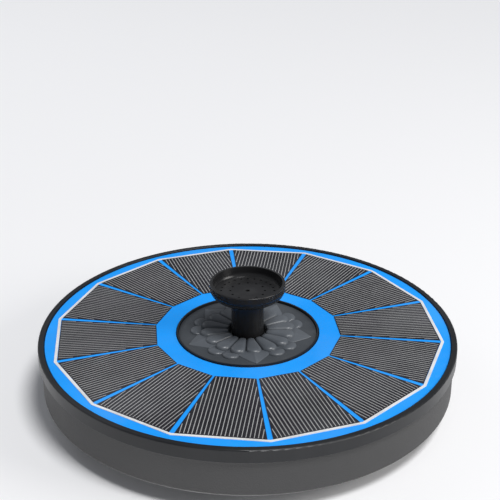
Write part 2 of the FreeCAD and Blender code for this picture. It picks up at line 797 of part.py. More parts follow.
# ---- Intake cover ----
def make_intake_cover():
    inner = cover_radius - cover_wall
    cup = turned([
        (0, 0, 0),
        (cover_radius, 0, 0.8),
        (cover_radius, cover_top, 0.2),
        (inner, cover_top, 0),
        (inner, cover_floor, 0.5),
        (0, cover_floor, 0),
    ])
    ledge_inner = inner - ledge_reach
    extras = []
    for angle in lug_angles:
        extras.append(sector(ledge_inner, inner + overrun, ledge_low, ledge_top,
                             angle - ledge_span / 2, angle + ledge_span / 2))
        stop_start = angle + lug_span / 2 + stop_gap_angle
        extras.append(sector(ledge_inner, inner + overrun, cover_floor, ledge_low,
                             stop_start, stop_start + stop_span))
    cup = joined(cup, *extras)
    floor_slot = block(floor_slot_start, floor_slot_end, -floor_slot_width / 2, floor_slot_width / 2,
                       0, cover_floor)
    wall_slot = block(ledge_inner, cover_radius + overrun, -wall_slot_width / 2, wall_slot_width / 2,
                      wall_slot_low, wall_slot_low + wall_slot_height)
    return cup.cut(repeated(floor_slot, floor_slots) + repeated(wall_slot, wall_slots, 180 / wall_slots))


def make_intake():
    save("intake_cover", make_intake_cover())
    sponge_radius = spigot_radius - spigot_wall - sponge_fit
    save("filter_sponge", disc(sponge_radius, cover_floor, cover_floor + sponge_height))


# ---- Nozzle ----
def quarter_ellipse(radius, low, across, rise):
    """Edge that leaves (radius, low) level and turns up to (radius + across, low + rise)."""
    centre = Vector(radius, 0, low + rise)
    flat_end = Vector(radius, 0, low)
    steep_end = Vector(radius + across, 0, low + rise)
    if across >= rise:
        curve = Part.Ellipse(steep_end, flat_end, centre)
    else:
        curve = Part.Ellipse(flat_end, steep_end, centre)
    start = curve.parameter(flat_end)
    end = curve.parameter(steep_end)
    low_end, high_end = sorted((start, end))
    if high_end - low_end > math.pi:
        return Part.ArcOfEllipse(curve, high_end, low_end + 2 * math.pi).toShape()
    return Part.ArcOfEllipse(curve, low_end, high_end).toShape()


def line(start, end):
    return Part.LineSegment(Vector(start[0], 0, start[1]), Vector(end[0], 0, end[1])).toShape()


def make_nozzle_body():
    bore = riser_radius + stem_fit
    foot = deck_top + stem_foot_gap
    flare_out = stem_radius + flare_radius
    lean = flare_radius * (1 - math.sqrt(0.5))
    inner_floor = bowl_low + cup_wall
    flare = Part.Arc(Vector(stem_radius, 0, flare_z), Vector(stem_radius + lean, 0, bowl_low - lean),
                     Vector(flare_out, 0, bowl_low)).toShape()
    outside = [
        line((bore, foot), (stem_radius, foot)),
        line((stem_radius, foot), (stem_radius, flare_z)),
        flare,
        quarter_ellipse(flare_out, bowl_low, cup_radius - flare_out, bowl_depth),
        line((cup_radius, lip_low), (cup_radius, lip_top - lip_rounding)),
        Part.Arc(Vector(cup_radius, 0, lip_top - lip_rounding),
                 Vector(cup_radius - lip_rounding * (1 - math.sqrt(0.5)), 0,
                        lip_top - lip_rounding * (1 - math.sqrt(0.5))),
                 Vector(cup_radius - lip_rounding, 0, lip_top)).toShape(),
    ]
    inside = [
        line((cup_radius - lip_rounding, lip_top), (cup_inner, lip_top)),
        line((cup_inner, lip_top), (cup_inner, lip_low)),
        quarter_ellipse(flare_out, inner_floor, cup_inner - flare_out, lip_low - inner_floor),
        line((flare_out, inner_floor), (jet_bore, inner_floor)),
        line((jet_bore, inner_floor), (jet_bore, spout_top + stem_end_gap)),
        line((jet_bore, spout_top + stem_end_gap), (bore, spout_top + stem_end_gap)),
        line((bore, spout_top + stem_end_gap), (bore, foot)),
    ]
    wire = Part.Wire(Part.__sortEdges__(outside + inside))
    body = Part.Face(wire).revolve(Vector(0, 0, 0), UP, 360)
    seat = ring(pocket_radius, cup_inner + seat_overlap, plate_low, plate_top)
    pocket = disc(pocket_radius, plate_low, lip_low)
    return joined(body, seat).cut(pocket)


def make_spray_plate():
    plate = disc(pocket_radius - plate_fit, plate_low, plate_top)
    holes = []
    for count, circle, radius in jet_rings:
        hole = disc(radius, plate_low, plate_top, circle)
        holes += repeated(hole, count)
    return plate.cut(holes)


def make_nozzle():
    save("nozzle_body", make_nozzle_body())
    save("spray_plate", make_spray_plate())
    save("spout_seal", make_seal(riser_radius - seal_section, seal_section - press_fit,
                                 spout_top - seal_below_end))


os.makedirs("parts", exist_ok=True)
make_hull()
make_panel()
save("rosette_cover", make_rosette())
make_pump()
make_rotor()
make_electronics()
make_intake()
make_nozzle()
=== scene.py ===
# %% [markdown]
# # Solar fountain pump
# A round blue solar panel with fourteen striped wedge cells lies in a dark rim on a shallow
# floating hull. A flower-shaped trim fills its middle, and a stem with a round cup rises from it.
# The hard parts come in from CAD at their real size. Here they get their finishes, and the pieces
# that need modelling are built: the clear cover, the cells' printed lines, the flower trim
# and the sponge.

# %% Load the frame
import math
import random

import bmesh
import bpy
from mathutils import Matrix, Vector


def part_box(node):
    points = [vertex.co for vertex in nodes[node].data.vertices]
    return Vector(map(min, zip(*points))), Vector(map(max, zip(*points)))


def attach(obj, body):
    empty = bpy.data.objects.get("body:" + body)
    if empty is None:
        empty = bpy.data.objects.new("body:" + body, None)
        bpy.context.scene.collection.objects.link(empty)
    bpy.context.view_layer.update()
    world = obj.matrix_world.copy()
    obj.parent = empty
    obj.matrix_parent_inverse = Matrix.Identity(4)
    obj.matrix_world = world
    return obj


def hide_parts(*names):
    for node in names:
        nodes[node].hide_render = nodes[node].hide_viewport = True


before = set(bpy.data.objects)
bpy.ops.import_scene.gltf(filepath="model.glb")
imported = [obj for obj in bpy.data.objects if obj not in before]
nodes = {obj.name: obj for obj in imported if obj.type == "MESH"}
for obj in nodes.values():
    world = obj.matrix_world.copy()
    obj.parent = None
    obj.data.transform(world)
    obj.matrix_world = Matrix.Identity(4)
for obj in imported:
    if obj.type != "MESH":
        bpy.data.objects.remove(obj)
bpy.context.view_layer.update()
MM = 0.001

# %% [markdown]
# ## Sizes
# Everything new is placed from the boxes of the CAD parts, so one reading of each box is enough.
# The film and the first cell give the levels of the panel's top and of the silicon, and the trim's
# box gives the flower's radius and its foot.

# %% Sizes read from the frame
film_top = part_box("panel_film")[1].z
cell_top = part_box("solar_cell_01")[1].z
trim_low, trim_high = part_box("rosette_cover")
trim_radius = trim_high.x
sponge_low, sponge_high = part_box("filter_sponge")
rim_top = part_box("top_casing")[1].z
print("rim top %.1f mm, trim radius %.1f mm" % (rim_top / MM, trim_radius / MM))

# %% [markdown]
# ## Camera
# The camera stands in front of the pump and looks down on it from about 29 degrees, through a
# short telephoto lens. Its target is a little above the panel's middle, because the nozzle and
# the space that its water would fill belong in the picture too. Its distance is counted in radii
# of the circle where the rim meets the panel.

# %% Camera
circle_radius = 87.46 * MM
camera_distance = 5.485 * circle_radius
camera_height_angle = math.radians(29.04)
camera_pitch = math.radians(24.93)
camera_yaw = math.radians(0.14)
camera_data = bpy.data.cameras.new("camera")
camera_data.sensor_width = 36.0
camera_data.lens = 79.25
camera = bpy.data.objects.new("camera", camera_data)
camera.location = (0.0, -camera_distance * math.cos(camera_height_angle),
                   rim_top + camera_distance * math.sin(camera_height_angle))
camera.rotation_euler = (math.pi / 2 - camera_pitch, 0.0, -camera_yaw)
bpy.context.scene.collection.objects.link(camera)
bpy.context.scene.camera = camera
print("camera at", [round(value, 3) for value in camera.location])

# %% [markdown]
# ## Floor and light
# A pale floor and four soft lights: broad daylight from above, a little in front, a lower key from
# the right, which rounds the hull's wall, a weak one from behind, which edges the rim, and one from
# below. The daylight and the one from below are sun lamps with a wide angle, because they light
# everything evenly. The others are area lights, whose size sets how soft the shadows and how wide
# the highlights are. The floor can be seen through from below and lets that light through to the
# underside, so that the strainer and its screws can be looked at too. The Standard view transform
# keeps the panel's strong blue, which a film-like one would fade towards white. The room itself
# glows only weakly, so that black plastic stays black, but looks pale where it is seen.

# %% Floor
floor_half_width = 3.0
floor_mesh = bmesh.new()
bmesh.ops.create_grid(floor_mesh, x_segments=1, y_segments=1, size=floor_half_width)
floor_data = bpy.data.meshes.new("floor")
floor_mesh.to_mesh(floor_data)
floor_mesh.free()
floor = bpy.data.objects.new("floor", floor_data)
bpy.context.scene.collection.objects.link(floor)
floor_material = bpy.data.materials.new("pale_floor")
floor_material.use_nodes = True
floor_shader = floor_material.node_tree.nodes["Principled BSDF"]
floor_shader.inputs["Base Color"].default_value = (0.88, 0.88, 0.89, 1.0)
floor_shader.inputs["Roughness"].default_value = 0.6
floor_tree = floor_material.node_tree
from_below = floor_tree.nodes.new("ShaderNodeNewGeometry").outputs["Backfacing"]
for_shadows = floor_tree.nodes.new("ShaderNodeLightPath").outputs["Is Shadow Ray"]
either = floor_tree.nodes.new("ShaderNodeMath")
either.operation = "MAXIMUM"
see_through = floor_tree.nodes.new("ShaderNodeBsdfTransparent")
floor_mix = floor_tree.nodes.new("ShaderNodeMixShader")
floor_output = floor_tree.nodes["Material Output"]
for link_from, link_to in ((from_below, either.inputs[0]),
                           (for_shadows, either.inputs[1]),
                           (either.outputs[0], floor_mix.inputs[0]),
                           (floor_shader.outputs["BSDF"], floor_mix.inputs[1]),
                           (see_through.outputs["BSDF"], floor_mix.inputs[2]),
                           (floor_mix.outputs["Shader"], floor_output.inputs["Surface"])):
    floor_tree.links.new(link_from, link_to)
floor_data.materials.append(floor_material)


# %% Lights
def soft_light(name, place, target, size, power, colour=(1.0, 1.0, 1.0)):
    """Square area light at a place, turned to face a target."""
    data = bpy.data.lights.new(name, "AREA")
    data.size = size
    data.energy = power
    data.color = colour
    light = bpy.data.objects.new(name, data)
    light.location = place
    light.rotation_euler = (Vector(target) - Vector(place)).to_track_quat("-Z", "Y").to_euler()
    bpy.context.scene.collection.objects.link(light)


def distant_light(name, direction, spread, strength):
    """Sun lamp that shines along a direction, blurred over a spread in degrees."""
    data = bpy.data.lights.new(name, "SUN")
    data.energy = strength
    data.angle = math.radians(spread)
    light = bpy.data.objects.new(name, data)
    light.rotation_euler = Vector(direction).to_track_quat("-Z", "Y").to_euler()
    bpy.context.scene.collection.objects.link(light)


middle = (0.0, 0.0, rim_top)
distant_light("daylight", (-0.3, 0.3, -1.0), 20, 2.4)
distant_light("from_below", (0.1, 0.1, 1.0), 40, 2.6)
soft_light("key_right", (0.75, -0.25, 0.42), middle, 0.4, 3.2, (1.0, 0.98, 0.95))
soft_light("fill_back", (-0.6, 0.6, 0.6), middle, 0.6, 0.6, (0.94, 0.97, 1.0))
world = bpy.data.worlds.new("studio")
world.use_nodes = True
room = world.node_tree.nodes["Background"]
room.inputs["Color"].default_value = (0.9, 0.93, 1.0, 1.0)
room.inputs["Strength"].default_value = 0.22
backdrop = world.node_tree.nodes.new("ShaderNodeBackground")
backdrop.inputs["Color"].default_value = (0.84, 0.85, 0.87, 1.0)
seen = world.node_tree.nodes.new("ShaderNodeLightPath").outputs["Is Camera Ray"]
either_room = world.node_tree.nodes.new("ShaderNodeMixShader")
world_output = world.node_tree.nodes["World Output"]
for link_from, link_to in ((seen, either_room.inputs[0]),
                           (room.outputs[0], either_room.inputs[1]),
                           (backdrop.outputs[0], either_room.inputs[2]),
                           (either_room.outputs[0], world_output.inputs["Surface"])):
    world.node_tree.links.new(link_from, link_to)
bpy.context.scene.world = world
bpy.context.scene.view_settings.view_transform = "Standard"
print("lights set")


# %% [markdown]
# ## Shared effects
# Moulded plastic looks real when three things vary over it: a fine grain in its surface, paler
# rubbed edges, and a thin uneven film of dust or dried water. Each is a node group, built once and
# placed in each material with its own numbers. All of them read Object coordinates, so a pattern
# stays on its piece when the piece moves.

# %% Helpers for node groups
def start_group(name, inputs, outputs):
    """Empty shader group with float inputs {name: default} and outputs {name: socket type}."""
    group = bpy.data.node_groups.new(name, "ShaderNodeTree")
    for label, value in inputs.items():
        socket = group.interface.new_socket(label, in_out="INPUT", socket_type="NodeSocketFloat")
        socket.default_value = value
    for label, kind in outputs.items():
        group.interface.new_socket(label, in_out="OUTPUT", socket_type=kind)
    return group, group.nodes.new("NodeGroupInput"), group.nodes.new("NodeGroupOutput")


def calculate(tree, operation, first, second=None, clamp=False):
    """Math node; each operand is a number or a socket. Returns its output."""
    node = tree.nodes.new("ShaderNodeMath")
    node.operation = operation
    node.use_clamp = clamp
    for slot, operand in enumerate((first, second)):
        if isinstance(operand, (int, float)):
            node.inputs[slot].default_value = operand
        elif operand is not None:
            tree.links.new(operand, node.inputs[slot])
    return node.outputs[0]


def noise(tree, coordinates, scale, detail=3.0, roughness=0.5):
    """Noise texture on the given coordinates. The scale is a number or a socket."""
    node = tree.nodes.new("ShaderNodeTexNoise")
    node.inputs["Detail"].default_value = detail
    node.inputs["Roughness"].default_value = roughness
    tree.links.new(coordinates, node.inputs["Vector"])
    if isinstance(scale, (int, float)):
        node.inputs["Scale"].default_value = scale
    else:
        tree.links.new(scale, node.inputs["Scale"])
    return node.outputs["Fac"]


def ramp(tree, value, low, high):
    """Value stretched so that low becomes 0 and high becomes 1, with soft ends."""
    node = tree.nodes.new("ShaderNodeMapRange")
    node.interpolation_type = "SMOOTHSTEP"
    tree.links.new(value, node.inputs["Value"])
    node.inputs["From Min"].default_value = low
    node.inputs["From Max"].default_value = high
    return node.outputs["Result"]


# %% Moulded grain
def build_grain():
    """Fine pebbled height, and a slow blotch mask for colour and gloss."""
    group, inputs, outputs = start_group(
        "moulded_grain", {"Grain Scale": 1800.0, "Blotch Scale": 28.0},
        {"Height": "NodeSocketFloat", "Blotch": "NodeSocketFloat"})
    place = group.nodes.new("ShaderNodeTexCoord").outputs["Object"]
    pebbles = group.nodes.new("ShaderNodeTexVoronoi")
    pebbles.feature = "SMOOTH_F1"
    group.links.new(place, pebbles.inputs["Vector"])
    group.links.new(inputs.outputs["Grain Scale"], pebbles.inputs["Scale"])
    fine = noise(group, place, inputs.outputs["Grain Scale"], 2.0)
    height = calculate(group, "ADD", pebbles.outputs["Distance"], fine)
    group.links.new(height, outputs.inputs["Height"])
    blotch = noise(group, place, inputs.outputs["Blotch Scale"], 4.0, 0.6)
    group.links.new(ramp(group, blotch, 0.35, 0.68), outputs.inputs["Blotch"])
    return group


grain_group = build_grain()


# %% Rubbed edges
def build_wear():
    """Mask of sharp outer edges, broken up by noise so that the rub looks handled."""
    group, inputs, outputs = start_group(
        "rubbed_edges", {"Start": 0.53, "Break Up": 90.0}, {"Mask": "NodeSocketFloat"})
    place = group.nodes.new("ShaderNodeTexCoord").outputs["Object"]
    pointed = group.nodes.new("ShaderNodeNewGeometry").outputs["Pointiness"]
    over = calculate(group, "SUBTRACT", pointed, inputs.outputs["Start"])
    edge = calculate(group, "MULTIPLY", over, 12.0, clamp=True)
    patches = ramp(group, noise(group, place, inputs.outputs["Break Up"], 4.0), 0.38, 0.62)
    group.links.new(calculate(group, "MULTIPLY", edge, patches, clamp=True), outputs.inputs["Mask"])
    return group


wear_group = build_wear()


# %% Dust and dried water
def build_dust():
    """Mask that gathers on faces that look up, thin and cloudy with small spots."""
    group, inputs, outputs = start_group(
        "settled_dust", {"Cloud Scale": 22.0, "Spot Scale": 420.0}, {"Mask": "NodeSocketFloat"})
    place = group.nodes.new("ShaderNodeTexCoord").outputs["Object"]
    normal = group.nodes.new("ShaderNodeSeparateXYZ")
    group.links.new(group.nodes.new("ShaderNodeNewGeometry").outputs["Normal"], normal.inputs[0])
    upward = ramp(group, normal.outputs["Z"], 0.1, 1.0)
    clouds = ramp(group, noise(group, place, inputs.outputs["Cloud Scale"], 5.0, 0.6), 0.4, 0.75)
    spots = ramp(group, noise(group, place, inputs.outputs["Spot Scale"], 2.0), 0.62, 0.72)
    both = calculate(group, "ADD", clouds, calculate(group, "MULTIPLY", spots, 0.5), clamp=True)
    group.links.new(calculate(group, "MULTIPLY", both, upward, clamp=True), outputs.inputs["Mask"])
    return group


dust_group = build_dust()
print("shared groups", [group.name for group in bpy.data.node_groups])


# %% [markdown]
# ## Finishes
# One function makes a moulded plastic from a base colour and a few numbers: how rough it is, how
# strong its grain is, how much its edges are rubbed and how much dust lies on it. The shader's
# constant values are set on the shader itself, and only what varies over the surface is linked.

# %% Plastic finish
def place_group(tree, group, **values):
    """Copy of a shared group in a material, with its inputs given by name."""
    node = tree.nodes.new("ShaderNodeGroup")
    node.node_tree = group
    for label, value in values.items():
        node.inputs[label.replace("_", " ")].default_value = value
    return node


def mix_colour(tree, mask, first, second):
    """Colour mix by a mask socket; each colour is a triple or a socket. Returns the output."""
    node = tree.nodes.new("ShaderNodeMix")
    node.data_type = "RGBA"
    tree.links.new(mask, node.inputs[0])
    for slot, colour in ((6, first), (7, second)):
        if isinstance(colour, tuple):
            node.inputs[slot].default_value = (*colour, 1.0)
        else:
            tree.links.new(colour, node.inputs[slot])
    return node.outputs[2]


def moulded(name, colour, roughness, grain=0.1, grain_scale=1800.0, rub=0.3, dust=0.1, coat=0.0,
            variation=0.12, shine=0.5):
    """Moulded plastic or rubber: grain, slow colour drift, rubbed edges and a film of dust."""
    material = bpy.data.materials.new(name)
    material.use_nodes = True
    tree = material.node_tree
    shader = tree.nodes["Principled BSDF"]
    texture = place_group(tree, grain_group, Grain_Scale=grain_scale)
    wear = place_group(tree, wear_group)
    dusty = place_group(tree, dust_group)
    deeper = tuple(channel * (1.0 - variation) for channel in colour)
    lighter = tuple(min(1.0, channel * (1.0 + variation)) for channel in colour)
    rubbed = tuple(min(1.0, channel * 1.5 + 0.05) for channel in colour)
    dulled = tuple(channel * 0.6 + 0.12 for channel in colour)
    drift = mix_colour(tree, texture.outputs["Blotch"], deeper, lighter)
    rub_mask = calculate(tree, "MULTIPLY", wear.outputs["Mask"], rub)
    dust_mask = calculate(tree, "MULTIPLY", dusty.outputs["Mask"], dust)
    with_rub = mix_colour(tree, rub_mask, drift, rubbed)
    tree.links.new(mix_colour(tree, dust_mask, with_rub, dulled), shader.inputs["Base Color"])
    uneven = calculate(tree, "MULTIPLY", texture.outputs["Blotch"], 0.1)
    rougher = calculate(tree, "ADD", uneven, roughness)
    tree.links.new(calculate(tree, "ADD", rougher, calculate(tree, "MULTIPLY", dust_mask, 0.35),
                             clamp=True), shader.inputs["Roughness"])
    if grain > 0:
        bump = tree.nodes.new("ShaderNodeBump")
        bump.inputs["Strength"].default_value = grain
        bump.inputs["Distance"].default_value = 0.0002
        tree.links.new(texture.outputs["Height"], bump.inputs["Height"])
        tree.links.new(bump.outputs["Normal"], shader.inputs["Normal"])
    shader.inputs["Specular IOR Level"].default_value = shine
    shader.inputs["Coat Weight"].default_value = coat
    shader.inputs["Coat Roughness"].default_value = 0.06
    return material


def dress(material, *names):
    """Gives CAD parts a finish through their material slots."""
    for name in names:
        for slot in nodes[name].material_slots:
            slot.material = material


# %% Hull, trim and pump finishes
hull_lower = moulded("hull_lower", (0.043, 0.043, 0.044), 0.55, grain=0.35, rub=0.35, dust=0.15)
hull_upper = moulded("hull_upper", (0.011, 0.012, 0.014), 0.3, grain=0.06, rub=0.3, dust=0.06,
                     shine=0.4)
trim_grey = moulded("trim_grey", (0.092, 0.103, 0.118), 0.32, grain=0.08, rub=0.3, dust=0.1)
# The dish's darker colour is painted shade for the low floor among the petals; its coarse stipple is
# real.
trim_floor_painted_shade = moulded("trim_floor_painted_shade", (0.046, 0.053, 0.062), 0.5, grain=0.4, rub=0.2, dust=0.15)
nozzle_black = moulded("nozzle_black", (0.017, 0.017, 0.018), 0.22, grain=0.03, rub=0.15, dust=0.02,
                       shine=0.35)
pump_black = moulded("pump_black", (0.03, 0.031, 0.034), 0.45, grain=0.2, rub=0.4, dust=0.1)
rubber = moulded("rubber", (0.02, 0.02, 0.021), 0.65, grain=0.3, rub=0.1, dust=0.2)
dress(hull_lower, "base_shell")
dress(hull_upper, "top_casing")
dress(nozzle_black, "nozzle_body", "spray_plate")
dress(pump_black, "pump_housing", "volute_cover", "motor_cover", "intake_cover")
dress(rubber, "casing_gasket", "housing_seal", "spout_seal", "lead_grommet", "shaft_bush_lower",
      "shaft_bush_upper")

# %% [markdown]
# ## The panel
# The panel is a blue circuit board with dark silicon wedges on it. A clear resin covers both, so
# each of them gets a clear coat on its own shader, and the resin itself is almost invisible. The
# blue is the board's solder mask. The silicon has a slight violet drift, as real cells have. The
# resin's CAD layer lies on the cells and the ribbon without a gap, and two faces in one place can't
# both be drawn, so a clear cover with its underside just above theirs stands for it.

# %% Panel finishes
def laminated(name, colour, drift_colour, roughness, coat):
    """Flat layer under clear resin: slow colour drift, a coat, and faint dried-water marks."""
    material = bpy.data.materials.new(name)
    material.use_nodes = True
    tree = material.node_tree
    shader = tree.nodes["Principled BSDF"]
    texture = place_group(tree, grain_group, Blotch_Scale=40.0)
    dusty = place_group(tree, dust_group, Cloud_Scale=30.0)
    drift = mix_colour(tree, texture.outputs["Blotch"], colour, drift_colour)
    dust_mask = calculate(tree, "MULTIPLY", dusty.outputs["Mask"], 0.03)
    pale = tuple(channel * 0.7 + 0.2 for channel in colour)
    tree.links.new(mix_colour(tree, dust_mask, drift, pale), shader.inputs["Base Color"])
    tree.links.new(calculate(tree, "ADD", calculate(tree, "MULTIPLY", texture.outputs["Blotch"], 0.08),
                             roughness), shader.inputs["Roughness"])
    shader.inputs["Specular IOR Level"].default_value = 0.15
    shader.inputs["Coat Weight"].default_value = coat
    shader.inputs["Coat Roughness"].default_value = 0.08
    return material


panel_blue = laminated("panel_blue", (0.002, 0.3, 0.9), (0.003, 0.33, 0.98), 0.5, 0.08)
silicon = laminated("silicon", (0.008, 0.008, 0.011), (0.012, 0.01, 0.016), 0.4, 0.15)
dress(panel_blue, "panel_substrate")
cell_names = sorted(name for name in nodes if name.startswith("solar_cell_"))
dress(silicon, *cell_names)


# %% Helpers for pieces
def finish_piece(name, mesh, material, body, smooth=True):
    """Turns a bmesh into an object that rides on a body and takes its finish from a slot."""
    data = bpy.data.meshes.new(name)
    mesh.to_mesh(data)
    mesh.free()
    for face in data.polygons:
        face.use_smooth = smooth
    data.materials.append(material)
    piece = bpy.data.objects.new(name, data)
    bpy.context.scene.collection.objects.link(piece)
    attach(piece, body)
    return piece


def turn_outline(outline, steps):
    """Solid of revolution round Z from a closed outline of (radius, height) points."""
    mesh = bmesh.new()
    points = [mesh.verts.new((radius, 0.0, height)) for radius, height in outline]
    edges = [mesh.edges.new((points[index - 1], points[index])) for index in range(len(points))]
    bmesh.ops.spin(mesh, geom=points + edges, axis=(0, 0, 1), cent=(0, 0, 0), steps=steps,
                   angle=2 * math.pi, use_merge=True)
    bmesh.ops.recalc_face_normals(mesh, faces=mesh.faces)
    return mesh


# %% Clear cover
cover_gap = 0.08 * MM
cover_rounding = 0.1 * MM


def clear_film():
    """Nearly invisible glossy skin, a little cloudier where water has dried."""
    material = bpy.data.materials.new("clear_film")
    material.use_nodes = True
    tree = material.node_tree
    shader = tree.nodes["Principled BSDF"]
    shader.inputs["Base Color"].default_value = (0.9, 0.95, 1.0, 1.0)
    dusty = place_group(tree, dust_group, Cloud_Scale=26.0, Spot_Scale=500.0)
    cloud = calculate(tree, "MULTIPLY", dusty.outputs["Mask"], 0.015)
    tree.links.new(calculate(tree, "ADD", cloud, 0.004), shader.inputs["Alpha"])
    tree.links.new(calculate(tree, "ADD", calculate(tree, "MULTIPLY", dusty.outputs["Mask"], 0.2), 0.08),
                   shader.inputs["Roughness"])
    return material


def make_cover():
    """Clear layer turned from its section. Its underside stays just clear of the cells below it."""
    radii = [vertex.co.xy.length for vertex in nodes["panel_film"].data.vertices]
    inner, outer = min(radii), max(radii)
    low = cell_top + cover_gap
    outline = [(inner, low), (outer, low), (outer, film_top - cover_rounding),
               (outer - cover_rounding, film_top), (inner + cover_rounding, film_top),
               (inner, film_top - cover_rounding)]
    return turn_outline(outline, 180)


clear_cover = finish_piece("clear_cover", make_cover(), clear_film(), "float",
                           smooth=False)
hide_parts("panel_film")
print("clear cover", len(clear_cover.data.polygons), "faces")


# %% Metal finishes
def metal(name, colour, roughness, scratch=0.15, metallic=1.0):
    """Metal with slow tarnish. A matt tinned or printed one is only partly metallic."""
    material = bpy.data.materials.new(name)
    material.use_nodes = True
    tree = material.node_tree
    shader = tree.nodes["Principled BSDF"]
    texture = place_group(tree, grain_group, Grain_Scale=2600.0, Blotch_Scale=120.0)
    darker = tuple(channel * 0.8 for channel in colour)
    tree.links.new(mix_colour(tree, texture.outputs["Blotch"], colour, darker),
                   shader.inputs["Base Color"])
    tree.links.new(calculate(tree, "ADD", calculate(tree, "MULTIPLY", texture.outputs["Blotch"], scratch),
                             roughness), shader.inputs["Roughness"])
    shader.inputs["Metallic"].default_value = metallic
    return material


tinned = metal("tinned_ribbon", (0.88, 0.88, 0.88), 0.35, metallic=0.15)
steel = metal("stainless_steel", (0.62, 0.62, 0.63), 0.28)
dress(tinned, "bus_ribbon")
dress(steel, "casing_screws", "flange_screws", "volute_screws", "impeller_shaft")
dress(metal("ferrite", (0.09, 0.09, 0.095), 0.5), "rotor_magnet")
dress(metal("laminated_core", (0.3, 0.31, 0.33), 0.4), "stator_core")
dress(metal("enamelled_copper", (0.75, 0.33, 0.15), 0.3), "coil_winding")
dress(metal("capacitor_can", (0.5, 0.52, 0.55), 0.35), "capacitor")
dress(moulded("white_plastic", (0.72, 0.72, 0.7), 0.4, dust=0.05), "impeller", "thrust_washer_lower",
      "thrust_washer_upper", "coil_bobbin")
dress(moulded("board_green", (0.02, 0.16, 0.06), 0.35, grain=0.0, coat=0.4), "driver_board")
dress(moulded("chip_black", (0.025, 0.025, 0.027), 0.5), "driver_chip", "hall_sensor")
dress(moulded("lead_red", (0.5, 0.03, 0.025), 0.4), "panel_lead_positive")
dress(moulded("lead_black", (0.02, 0.02, 0.02), 0.4), "panel_lead_negative")
print("materials", len(bpy.data.materials))


# %% [markdown]
# ## The cells' printed lines
# Each silicon wedge carries thin silver lines that collect its current. They run along the wedge,
# all parallel to its middle, and end at the ribbon. On the real cell they are printed paste, so
# each is a very flat bar. A texture could draw them, but bars keep their edges at any distance.
# The outline of each wedge is worked out from its own CAD mesh.

# %% Printed lines
line_pitch = 1.55 * MM
line_width = 0.31 * MM
line_height = 0.05 * MM
line_inset = 0.35 * MM
corner_reach = 0.1 * MM


def wedge_outline(name):
    """Turn of a wedge's middle, its near and far ends, and half its width at each."""
    corners = [vertex.co for vertex in nodes[name].data.vertices]
    centre = sum(corners, Vector()) / len(corners)
    turn = math.atan2(centre.y, centre.x)
    flat = [Matrix.Rotation(-turn, 3, "Z") @ corner for corner in corners]
    near = min(corner.x for corner in flat)
    far = max(corner.x for corner in flat)
    near_half = max(corner.y for corner in flat if corner.x < near + corner_reach)
    far_half = max(corner.y for corner in flat if corner.x > far - corner_reach)
    return turn, near, far, near_half, far_half


def print_lines(mesh, name):
    """Adds one wedge's lines to the mesh as flat bars, and returns how many."""
    turn, near, far, near_half, far_half = wedge_outline(name)
    slope = (far_half - near_half) / (far - near)
    count = int((far_half - line_inset) / line_pitch)
    for step in range(-count, count + 1):
        across = step * line_pitch
        reach = abs(across) + line_width / 2 + line_inset - near_half
        start = max(near + line_inset, near + reach / slope)
        end = far - line_inset
        size = Matrix.Diagonal((end - start, line_width, line_height, 1.0))
        shift = Matrix.Translation(((start + end) / 2, across, cell_top))
        bmesh.ops.create_cube(mesh, size=1.0, matrix=Matrix.Rotation(turn, 4, "Z") @ shift @ size)
    return 2 * count + 1


silver_paste = metal("silver_paste", (0.4, 0.4, 0.4), 0.5, metallic=0.0)
lines_mesh = bmesh.new()
line_total = sum(print_lines(lines_mesh, name) for name in cell_names)
finish_piece("printed_lines", lines_mesh, silver_paste, "float", smooth=False)
print("printed lines", line_total)


# %% [markdown]
# ## The flower trim
# The trim is one moulding: a flat dish with two rings of raised petals. Sixteen egg-shaped petals
# surround the stem. Behind them lies a lower ring: five wide pointed petals, each folded along
# its middle, with two round lobes between every two of them. One petal of each kind is shaped from
# a grid, whose two directions run along and across the petal, and is copied round the middle.
# The dish behind the petals is stippled, and its colour is darker than theirs as painted shade for the
# low floor.

# %% Levels of the trim
floor_level = rim_top - 1.1 * MM
hole_radius = 8.2 * MM
inner_tip = 20.8 * MM
outer_root = 17.0 * MM
lobe_tip = 25.0 * MM
point_tip = 27.8 * MM
inner_count = 16
inner_turn = -81.1
inner_span = 22.5
inner_round_end = 3.5 * MM
inner_root_gap = 0.3 * MM
inner_crown = 0.95 * MM
inner_sink = 0.6 * MM
inner_slope_top = 18.5 * MM
inner_slope_length = 10.0 * MM
outer_count = 5
outer_turn = -82.6
lobe_turns = (26.5, 45.5)
lobe_span = 19.5
lobe_round_end = 3.3 * MM
lobe_foot = 0.15 * MM
lobe_bulge = 1.0 * MM
lobe_rise_start = 19.6 * MM
lobe_rise_length = 3.6 * MM
point_span = 36.0
point_shoulder = 20.4 * MM
ridge_height = 1.5 * MM
ridge_fall = 1.1 * MM
ridge_dip = 1.0 * MM
ridge_dip_length = 3.0 * MM
edge_height = 0.35 * MM
edge_fall = 0.1 * MM
petal_gap = 0.11 * MM
petal_foot = 0.5 * MM
petal_rows = 22
petal_columns = 14
least_half_width = 0.01 * MM
dish_foot_gap = 0.02 * MM
dish_rounding = 0.15 * MM
dish_rings = (2.4 * MM, 6.0 * MM)
sharp_turn = math.radians(50)


def inner_top(radius):
    """Top of an inner petal: it rises from the stem towards its tip, like a lotus petal."""
    inward = max(0.0, (inner_slope_top - radius) / inner_slope_length)
    return rim_top + inner_crown - inner_sink * inward ** 1.5


def lobe_top(radius):
    """Top of a round lobe: low under the inner petals, and bulging near its tip."""
    outward = min(1.0, max(0.0, (radius - lobe_rise_start) / lobe_rise_length))
    return floor_level + lobe_foot + lobe_bulge * math.sin(outward * math.pi / 2)


# %% Petal shapes
def tip_share(radius, turn_in, tip):
    """0 up to where the round end starts, and 1 at the tip."""
    return max(0.0, (radius - turn_in) / (tip - turn_in))


